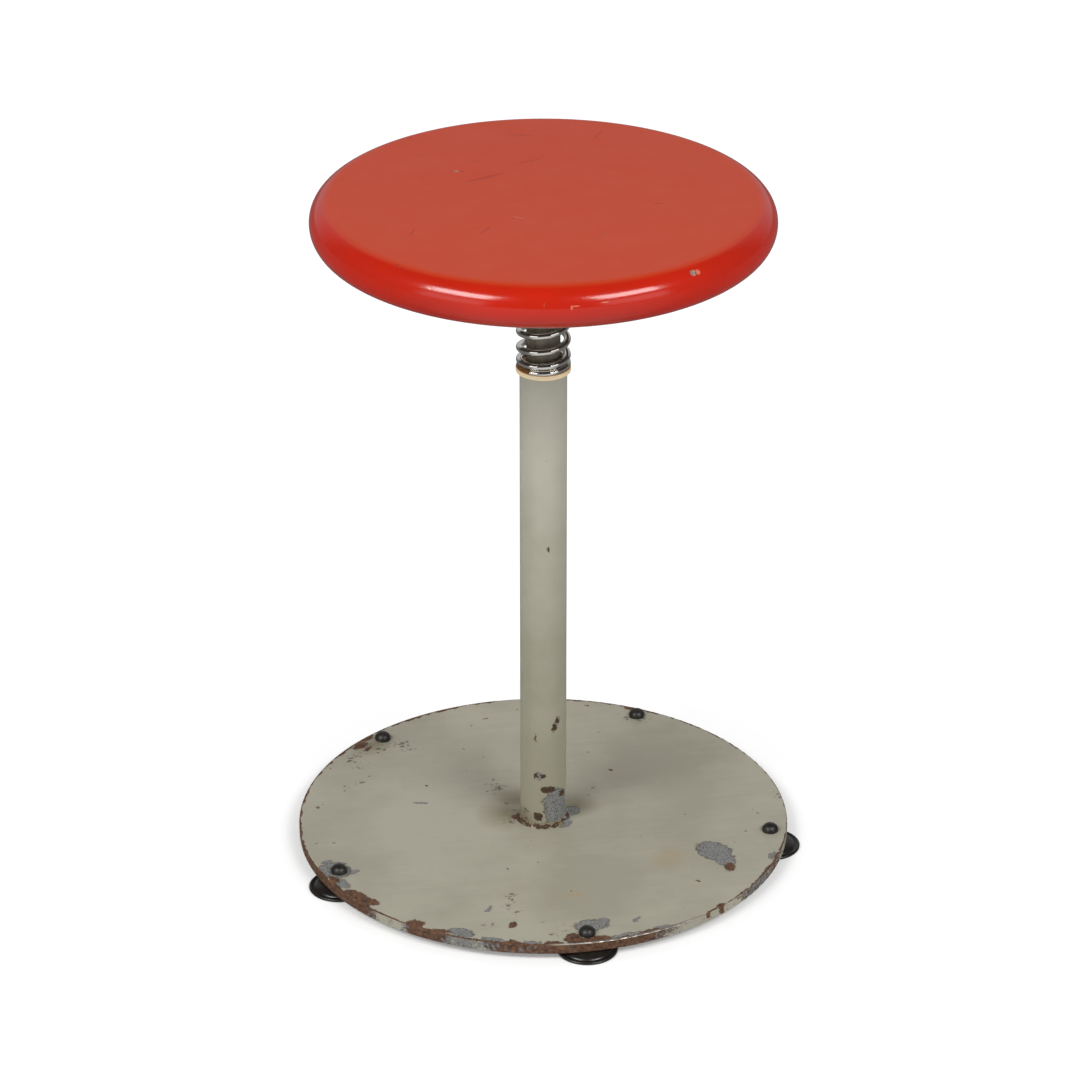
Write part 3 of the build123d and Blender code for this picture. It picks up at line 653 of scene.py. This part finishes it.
spring = grown("plated_spring", bpy.data.meshes.new("unwound"), tree, {
    "Wire radius": WIRE_RADIUS * MM, "Coil radius": COIL_RADIUS * MM, "Turns": COIL_TURNS,
    "Closed turns": CLOSED_TURNS, "Ramp turns": RAMP_TURNS, "Closed pitch": CLOSED_PITCH * MM,
    "Open pitch": OPEN_PITCH * MM, "Rise": (COIL_TOP - COIL_FOOT) * MM, "Start height": COIL_FOOT * MM,
    "First tip": math.radians(FIRST_TIP), "Points": int(COIL_TURNS * POINTS_PER_TURN) + 1,
    "Wire sides": WIRE_SIDES, "Finish": plating})
wound = bmesh.new()
wound.from_mesh(spring.data)
for height, facing in ((COIL_FOOT, -1), (COIL_TOP, 1)):
    bmesh.ops.bisect_plane(wound, geom=wound.verts[:] + wound.edges[:] + wound.faces[:], dist=1e-7,
                           plane_co=(0, 0, height * MM), plane_no=(0, 0, facing), clear_outer=True)
    bmesh.ops.holes_fill(wound, edges=[edge for edge in wound.edges if edge.is_boundary])
bmesh.ops.recalc_face_normals(wound, faces=wound.faces)
wound.to_mesh(spring.data)
wound.free()
spring.data.shade_smooth()
spring.data.set_sharp_from_angle(angle=math.radians(WIRE_SHARP_ANGLE))
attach(spring, "spring")
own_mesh(spring)
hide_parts("coil_spring")


# Plunger rod, seat flange and the weld between them: a ground steel bar set in a steel disc and welded
# flush. The rod slides and turns in the bush, and the disc takes the spring's push under the seat.

# Ground bar steel, dulled by age and a film of grease: soft grey, with faint streaks down its length.
BAR, BAR_GREASY = "#8a8172", "#6e6658"
bar, tree, point = start_material("greased_bar_steel")
streaky = add(tree, PLACED, {"Vector": point, "Scale": (1, 1, 0.1)})
smear = patches(tree, streaky, size=5, detail=4, rough=0.5, low=0.35, high=0.65)
colour = coated(tree, BAR, (smear, BAR_GREASY))
slick = add(tree, RANGE, {"Value": smear, "To Min": 0.5, "To Max": 0.38})
add(tree, SHOWN, {"Surface": add(tree, SURFACE, {
    "Base Color": colour, "Roughness": slick, "Metallic": 0.2})})
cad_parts["plunger_rod"].data.materials[0] = bar

# Mill plate, cut and left bare: dark scale with brown bloom in patches, and little shine.
MILL_SCALE, MILL_BLOOM = "#413a35", "#4a3226"
mill_plate, tree, point = start_material("mill_finish_steel")
bloom = patches(tree, point, size=7, detail=7, rough=0.7, low=0.45, high=0.62)
colour = coated(tree, MILL_SCALE, (bloom, MILL_BLOOM))
dull = add(tree, RANGE, {"Value": bloom, "To Min": 0.45, "To Max": 0.75})
bright = add(tree, RANGE, {"Value": bloom, "To Min": 0.8, "To Max": 0.2})
scale_grain = add(tree, NOISE, {"Vector": point, "Scale": 1 / MM, "Detail": 4.0, "Roughness": 0.6})
scale_grain = add(tree, BUMP, {"Height": scale_grain, "Distance": 0.05 * MM})
add(tree, SHOWN, {"Surface": add(tree, SURFACE, {
    "Base Color": colour, "Roughness": dull, "Metallic": bright, "Normal": scale_grain})})
for node in ("seat_flange", "rod_weld"):
    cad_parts[node].data.materials[0] = mill_plate


# Guide piston with its bolt and washers: a short nylon guide on the rod's lower end, inside the tube, which
# keeps the rod upright and stops it from pulling out of the bush.

# Zinc plating on small steel parts: pale, faintly blue and yellow in turn, with a satin shine.
ZINC, ZINC_YELLOW = "#b4b6b8", "#b0a684"
zinc, tree, point = start_material("zinc_plated_steel")
cast = patches(tree, point, size=3, detail=4, rough=0.6, low=0.38, high=0.66)
colour = coated(tree, ZINC, (cast, ZINC_YELLOW))
satin = add(tree, RANGE, {"Value": cast, "To Min": 0.28, "To Max": 0.42})
add(tree, SHOWN, {"Surface": add(tree, SURFACE, {
    "Base Color": colour, "Roughness": satin, "Metallic": 1.0})})
for node in ("piston_washer", "piston_lock_washer", "piston_bolt"):
    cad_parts[node].data.materials[0] = zinc
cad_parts["guide_piston"].data.materials[0] = nylon


# Flange screws: four slotted countersunk wood screws, zinc plated, driven up through the flange into the
# seat. Only their slotted heads show, from below.

SCREW_COUNT = 4
SCREW_CIRCLE = 43.0
SCREW_SHANK, SCREW_HEAD = 2.5, 4.5
SCREW_FOOT, SCREW_LENGTH, SCREW_POINT = 469.0, 25.0, 5.0
HEAD_EDGE, PLAIN_SHANK = 0.15, 3.0
SLOT_WIDTH, SLOT_DEPTH, SLOT_DRAFT = 1.2, 1.1, 0.02
THREAD_PITCH, THREAD_CUT = 1.8, 0.55
THREAD_FALL, THREAD_RISE = 0.4 * THREAD_PITCH, 0.7 * THREAD_PITCH
HEAD_SLACK, FACING_DOWN = 0.01, -0.9
SCREW_SEGMENTS = 48

neck_height = SCREW_FOOT + SCREW_HEAD - SCREW_SHANK
thread_start, thread_end = neck_height + PLAIN_SHANK, SCREW_FOOT + SCREW_LENGTH - SCREW_POINT
screw_profile = [(0, SCREW_FOOT), (SCREW_HEAD - HEAD_EDGE, SCREW_FOOT), (SCREW_HEAD, SCREW_FOOT + HEAD_EDGE),
                 (SCREW_SHANK, neck_height)]
for ridge in range(int((thread_end - thread_start) / THREAD_PITCH)):
    foot = thread_start + ridge * THREAD_PITCH
    screw_profile += [(SCREW_SHANK, foot), (SCREW_SHANK - THREAD_CUT, foot + THREAD_FALL),
                      (SCREW_SHANK - THREAD_CUT, foot + THREAD_RISE)]
screw_profile += [(SCREW_SHANK, thread_end), (0, SCREW_FOOT + SCREW_LENGTH)]
screw_mesh = turned("one_screw", screw_profile, SCREW_SEGMENTS)
screw_shape = bmesh.new()
screw_shape.from_mesh(screw_mesh)
face_height = (SCREW_FOOT + HEAD_SLACK) * MM
bmesh.ops.dissolve_faces(screw_shape, faces=[
    face for face in screw_shape.faces if face.calc_center_median().z < face_height])
for side in (-1, 1):
    head = [part for part in screw_shape.verts[:] + screw_shape.edges[:] + screw_shape.faces[:]
            if all(corner.co.z < face_height for corner in getattr(part, "verts", [part]))]
    bmesh.ops.bisect_plane(screw_shape, geom=head, plane_co=(0, side * SLOT_WIDTH / 2 * MM, 0),
                           plane_no=(0, 1, 0))
slot_floor = [face for face in screw_shape.faces
              if face.normal.z < FACING_DOWN and face.calc_center_median().z < face_height
              and abs(face.calc_center_median().y) < SLOT_WIDTH / 2 * MM]
bmesh.ops.inset_region(screw_shape, faces=slot_floor, thickness=SLOT_DRAFT * MM, use_even_offset=True)
for corner in {corner for face in slot_floor for corner in face.verts}:
    corner.co.z += SLOT_DEPTH * MM
bmesh.ops.recalc_face_normals(screw_shape, faces=screw_shape.faces)
screw_shape.to_mesh(screw_mesh)
screw_shape.free()
screws = grown("slotted_screws", screw_mesh, ring_tree, {
    "Count": SCREW_COUNT, "Circle radius": SCREW_CIRCLE * MM, "First bearing": 0.0, "Turn seed": 11,
    "Finish": zinc})
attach(screws, "seat")
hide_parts("flange_screws")


# Seat: a thick round board with a full half-round edge, turned from wood, filled smooth and lacquered red.
# The top is rubbed dull by sitting, and the edge still shines.

SEAT_FOOT, SEAT_TOP = 473.0, 505.0
SEAT_EDGE, SEAT_FLAT = 16.0, 146.0
SEAT_SEGMENTS, SEAT_EDGE_STEPS = 288, 40
RUBBED_BAND, BARE_BAND = (SEAT_TOP - 1.8, SEAT_TOP - 0.1), (SEAT_FOOT + 0.12, SEAT_FOOT + 0.04)
EDGE_SHINE, TOP_SHINE = (0.12, 0.19), (0.4, 0.5)

seat_profile = [(0, SEAT_FOOT), (SEAT_FLAT / 2, SEAT_FOOT)]
seat_profile += arc(
    (SEAT_FLAT, SEAT_FOOT + SEAT_EDGE), SEAT_EDGE, SEAT_EDGE, start=-90, end=90, steps=SEAT_EDGE_STEPS)
seat_profile += [(SEAT_FLAT / 2, SEAT_TOP), (0, SEAT_TOP)]
seat = put("lacquered_seat", turned("lacquered_seat", seat_profile, SEAT_SEGMENTS))


def on_edge(rows):
    """Marks on the seat's edge, from rows of bearing, radius, height, and half sizes around and upwards."""
    return [(bearing, radius, height, max(along, tall), along, tall, 0)
            for bearing, radius, height, along, tall in rows]


def on_top(rows):
    """Strokes on the seat's top, from rows of two end points and a half width."""
    strokes = []
    for start_x, start_y, end_x, end_y, width in rows:
        x, y = (start_x + end_x) / 2, (start_y + end_y) / 2
        bearing = math.degrees(math.atan2(y, x))
        heading = math.degrees(math.atan2(end_y - start_y, end_x - start_x))
        length = math.hypot(end_x - start_x, end_y - start_y) / 2
        strokes.append((
            bearing, math.hypot(x, y), SEAT_TOP, length + width, width, width, heading - bearing))
    return strokes


# Red lacquer, sprayed in thick coats over filled wood: deep colour under a gloss with a slight orange peel,
# hazed on top by fine scratches, with a few knocks down to the grey filler. The underside is bare dark wood,
# where the lacquer stops just past the edge.
LACQUER, LACQUER_DEEP, LACQUER_FADED = "#b6200d", "#ac1e0b", "#b93915"
FILLER, FILLER_DARK, SCUFF, BRUISE = "#a1897b", "#463c34", "#d0806a", "#982a16"
BARE_WOOD, BARE_WOOD_DARK = "#4d3524", "#33231a"
UNCOATED_DULL = 0.8
chips = on_edge((
    (-61.2, 157, 501, 2.3, 2.2), (20, 160, 497, 2, 1.4), (140, 161, 494, 1.3, 1.6)))
chips += on_top(((-51.5, 59, -50.5, 59, 1.1), (28.8, -70.3, 29.2, -70.3, 0.7)))
bruises = on_edge((
    (-140.6, 151.5, 504.2, 1.3, 1), (-138.4, 152, 504.1, 1.1, 0.8), (119.9, 145, 505, 1.4, 0.8),
    (-140, 161.6, 489.5, 1.6, 1.2), (-100.5, 160.6, 495, 0.4, 1.6)))
bruises += on_top((
    (-49, 57, -46, 58, 1), (-46, 37.5, -23, 47, 1.5), (-101, -50.4, -96, -39, 0.7),
    (-53.4, -55.8, -46, -45.6, 0.8), (-26, -31.5, -19.6, -37, 0.7), (-0.4, 119, 11.3, 115.7, 0.9),
    (56.5, 102.4, 64, 114.7, 0.6), (-36.5, 73.4, -30.4, 76.1, 0.6), (-6.8, 64, 12.3, 71, 0.8),
    (73.2, -25.5, 78.8, -25.7, 0.9)))
scuffs = on_edge((
    (-93, 161.4, 493.6, 2.4, 0.4), (-94, 161.5, 492.8, 0.7, 1.4), (-86, 160.8, 494.6, 2.6, 0.35),
    (-129, 159.3, 498, 1.4, 0.9), (-59.8, 157.2, 500.6, 1.7, 1.8)))
scuffs += on_top(((-26.2, -30, -19.6, -35.5, 0.45), (-52, 57.5, -50, 57.8, 0.6)))
lacquer, tree, point = start_material("red_lacquer_on_wood")
fray = add(tree, NOISE, {"Vector": point, "Scale": 1 / (2 * MM), "Detail": 5.0, "Roughness": 0.7})
masks = []
for marks, tear, soft, most in ((chips, 0.8, 0.12, 1.0), (bruises, 0.8, 0.4, 0.6), (scuffs, 0.6, 0.35, 0.7)):
    reach = nearest_mark(tree, point, marks)
    reach = add(tree, MATH, {0: fray, 1: tear, 2: reach}, operation="MULTIPLY_ADD")
    masks.append(add(tree, RANGE, {
        "Value": reach, "From Min": 1 + tear / 2 + soft, "From Max": 1 + tear / 2 - soft, "To Max": most}))
chipped, bruised, scuffed = masks
rubbed, bare = by_height(tree, point, RUBBED_BAND, BARE_BAND)
cloudy = patches(tree, point, size=60, detail=6, rough=0.6, low=0.35, high=0.7)
filler = add(tree, RANGE, {"Value": fray, "From Min": 0.4, "From Max": 0.55})
filler = coated(tree, FILLER_DARK, (filler, FILLER))
lengthwise = add(tree, PLACED, {"Vector": point, "Scale": (0.06, 1, 1)})
wood = patches(tree, lengthwise, size=2.5, detail=5, rough=0.6, low=0.35, high=0.65)
wood = coated(tree, BARE_WOOD, (wood, BARE_WOOD_DARK))
colour = coated(
    tree, LACQUER, (cloudy, LACQUER_DEEP), (rubbed, LACQUER_FADED), (bruised, BRUISE), (scuffed, SCUFF),
    (chipped, filler), (bare, wood))
hazed = add(tree, NOISE, {"Vector": point, "Scale": 1 / (30 * MM), "Detail": 7.0, "Roughness": 0.65})
edge_shine, top_shine = [
    add(tree, RANGE, {"Value": hazed, "From Min": 0.25, "From Max": 0.75, "To Min": least, "To Max": most})
    for least, most in (EDGE_SHINE, TOP_SHINE)]
shine = add(tree, MIX, {0: rubbed, 2: edge_shine, 3: top_shine})
matt = add(tree, MATH, {0: chipped, 1: bare}, operation="MAXIMUM")
shine = add(tree, MIX, {0: matt, 2: shine, 3: UNCOATED_DULL})
peel = add(tree, NOISE, {"Vector": point, "Scale": 1 / (1.8 * MM), "Detail": 1.0})
peel = add(tree, BUMP, {"Height": peel, "Distance": 0.012 * MM})
dent = add(tree, MATH, {0: chipped, 1: bruised}, operation="MAXIMUM")
dent = add(tree, BUMP, {"Height": dent, "Distance": 0.4 * MM, "Strength": 0.6, "Normal": peel}, invert=True)
add(tree, SHOWN, {"Surface": add(tree, SURFACE, {
    "Base Color": colour, "Roughness": shine, "Normal": dent, "IOR": 1.5})})
seat.data.materials.append(lacquer)
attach(seat, "seat")
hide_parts("seat_board")


# Studio: a pale floor that runs out of sight, two softboxes in front to the left and right, each over a low
# white panel, a white backdrop behind, and the camera at the photo's viewing angle.

FLOOR_SIZE = 60.0
PAPER, PAPER_DIM, WHITE = "#f4f4f4", "#d2d1cf", "#ffffff"
GLOW_STRENGTH = 1.1
FLOOR_GLOW, SHADOW_GLOW = 0.64, 0.2
MIRRORED_FRONT, MIRRORED_SIDES, MIRRORED_ARC = 0.6, 0.16, (0.3, 0.85)
SHADOW_NEAR, SHADOW_FAR = 0.176, 0.2
GLOW_NEAR, GLOW_FAR = 0.16, 0.26
HEADING = math.radians(-10.6)
CAMERA_PLACE = (-0.5284, -2.8106, 1.681)
CAMERA_TILT = math.radians(63.27)
CAMERA_LENS, CAMERA_REACH = 149.14, 200.0
SOFTBOX_SIZE = (1.75, 1.0)
SOFTBOX_DISTANCE = 3.6
SOFTBOX_BEARING, SOFTBOX_ELEVATION = math.radians(44.5), math.radians(42)
LEFT_POWER, RIGHT_POWER = 75.0, 66.5
PANEL_HALF_WIDTH, PANEL_FOOT, PANEL_TOP = math.radians(17), 0.02, 0.4
SOFT_EDGE = 0.02
BACKDROP_ARC, BACKDROP_TOP = (0.5, 0.88), (0.8, 0.6)
WALL_LIGHT, SIDE_LIGHT, CEILING_LIGHT = 0.32, 1.6, 0.05
ROOM_LIGHT, BACKDROP_LIGHT, PANEL_LIGHT = 0.04, 0.49, 1.3
AIM = Vector((0, 0, 0.3))

floor_mesh = bpy.data.meshes.new("floor")
half = FLOOR_SIZE / 2
corners = [(-half, -half, 0), (half, -half, 0), (half, half, 0), (-half, half, 0)]
floor_mesh.from_pydata(corners, [], [(0, 1, 2, 3)])
floor = put("floor", floor_mesh)
floor_paper, tree, spot = start_material("floor_paper")
path = add(tree, "ShaderNodeLightPath").node.outputs
distance = add(tree, VECTOR, {0: spot}, "Value", operation="LENGTH")
shown = add(tree, MATH, {0: path["Is Camera Ray"], 1: path["Is Transmission Ray"]}, operation="MAXIMUM")
# Painted shadow: the glow is held back in a ring round the plate, so the floor there is greyer than the open
# floor, besides its real shadow.
near = add(tree, RANGE, {"Value": distance, "From Min": SHADOW_NEAR, "From Max": SHADOW_FAR,
                         "To Min": SHADOW_GLOW, "To Max": FLOOR_GLOW})
far = add(tree, RANGE, {"Value": distance, "From Min": GLOW_NEAR, "From Max": GLOW_FAR})
share = add(tree, MATH, {0: near, 1: far}, operation="MAXIMUM")
share = add(tree, MATH, {0: share, 1: shown}, operation="MULTIPLY")
share = add(tree, MATH, {0: share, 1: path["Is Glossy Ray"]}, operation="MAXIMUM")
front = add(tree, VECTOR, {0: spot}, operation="NORMALIZE")
front = add(tree, VECTOR, {0: front, 1: (math.sin(HEADING), -math.cos(HEADING), 0)}, "Value",
            operation="DOT_PRODUCT")
mirrored = add(tree, RANGE, {"Value": front, "From Min": MIRRORED_ARC[0], "From Max": MIRRORED_ARC[1],
                             "To Min": MIRRORED_SIDES, "To Max": MIRRORED_FRONT})
strength = add(tree, MIX, {0: path["Is Glossy Ray"], 2: GLOW_STRENGTH, 3: mirrored})
sheet = coated(tree, PAPER_DIM, (shown, PAPER))
sheet = add(tree, "ShaderNodeBsdfDiffuse", {"Color": sheet})
glow = add(tree, "ShaderNodeEmission", {"Color": linear(WHITE), "Strength": strength})
add(tree, SHOWN, {"Surface": add(tree, "ShaderNodeMixShader", {0: share, 1: sheet, 2: glow})})
floor.data.materials.append(floor_paper)

world = bpy.data.worlds.new("studio")
bpy.context.scene.world = world
world.use_nodes = True
tree = world.node_tree
tree.nodes.clear()
direction = add(tree, "ShaderNodeTexCoord")
behind = add(tree, VECTOR, {0: direction, 1: (-math.sin(HEADING), math.cos(HEADING), 0)}, "Value",
             operation="DOT_PRODUCT")
aside = add(tree, VECTOR, {0: direction, 1: (math.cos(HEADING), math.sin(HEADING), 0)}, "Value",
            operation="DOT_PRODUCT")
upward = add(tree, SPLIT, {0: direction}, "Z")
backdrop = add(tree, RANGE, {"Value": behind, "From Min": BACKDROP_ARC[0], "From Max": BACKDROP_ARC[1],
                             "To Max": BACKDROP_LIGHT})
below_top = add(tree, RANGE, {"Value": upward, "From Min": BACKDROP_TOP[0], "From Max": BACKDROP_TOP[1]})
backdrop = add(tree, MATH, {0: backdrop, 1: below_top}, operation="MULTIPLY")
front = add(tree, MATH, {0: behind, 1: -1.0}, operation="MULTIPLY")
turn = add(tree, MATH, {0: add(tree, MATH, {0: aside}, operation="ABSOLUTE"), 1: front}, operation="ARCTAN2")
off = add(tree, MATH, {0: turn, 1: SOFTBOX_BEARING}, operation="SUBTRACT")
off = add(tree, MATH, {0: off}, operation="ABSOLUTE")
panel = add(tree, RANGE, {
    "Value": off, "From Min": PANEL_HALF_WIDTH, "From Max": PANEL_HALF_WIDTH - SOFT_EDGE,
    "To Max": PANEL_LIGHT})
for edge, inner in ((PANEL_FOOT, PANEL_FOOT + SOFT_EDGE), (PANEL_TOP, PANEL_TOP - SOFT_EDGE)):
    within = add(tree, RANGE, {"Value": upward, "From Min": edge, "From Max": inner})
    panel = add(tree, MATH, {0: panel, 1: within}, operation="MULTIPLY")
mirrored = add(tree, MATH, {0: backdrop, 1: panel}, operation="MAXIMUM")
mirrored = add(tree, MATH, {0: mirrored, 1: ROOM_LIGHT}, operation="MAXIMUM")
wall = add(tree, MATH, {0: aside}, operation="ABSOLUTE")
wall = add(tree, RANGE, {"Value": wall, "To Min": WALL_LIGHT, "To Max": SIDE_LIGHT})
soft = add(tree, RANGE, {"Value": upward, "To Min": wall, "To Max": CEILING_LIGHT})
path = add(tree, "ShaderNodeLightPath").node.outputs
level = add(tree, MIX, {0: path["Is Glossy Ray"], 2: soft, 3: mirrored})
shown = add(tree, MATH, {0: path["Is Camera Ray"], 1: path["Is Transmission Ray"]}, operation="MAXIMUM")
level = add(tree, MIX, {0: shown, 2: level, 3: 1.0})
sky = add(tree, "ShaderNodeBackground", {"Color": linear(WHITE), "Strength": level})
add(tree, "ShaderNodeOutputWorld", {"Surface": sky})

for side, power, name in ((-1, LEFT_POWER, "softbox_left"), (1, RIGHT_POWER, "softbox_right")):
    lamp = bpy.data.lights.new(name, "AREA")
    lamp.shape = "RECTANGLE"
    lamp.size, lamp.size_y = SOFTBOX_SIZE
    lamp.energy = power
    softbox = put(name, lamp)
    bearing = HEADING - math.pi / 2 + side * SOFTBOX_BEARING
    reach = SOFTBOX_DISTANCE * math.cos(SOFTBOX_ELEVATION)
    softbox.location = AIM + Vector((reach * math.cos(bearing), reach * math.sin(bearing),
                                     SOFTBOX_DISTANCE * math.sin(SOFTBOX_ELEVATION)))
    softbox.rotation_euler = (AIM - softbox.location).to_track_quat("-Z", "Y").to_euler()

camera = put("camera", bpy.data.cameras.new("camera"))
camera.location = CAMERA_PLACE
camera.rotation_euler = (CAMERA_TILT, 0, HEADING)
camera.data.lens = CAMERA_LENS
camera.data.clip_end = CAMERA_REACH
bpy.context.scene.camera = camera
bpy.context.scene.view_settings.view_transform = "Standard"
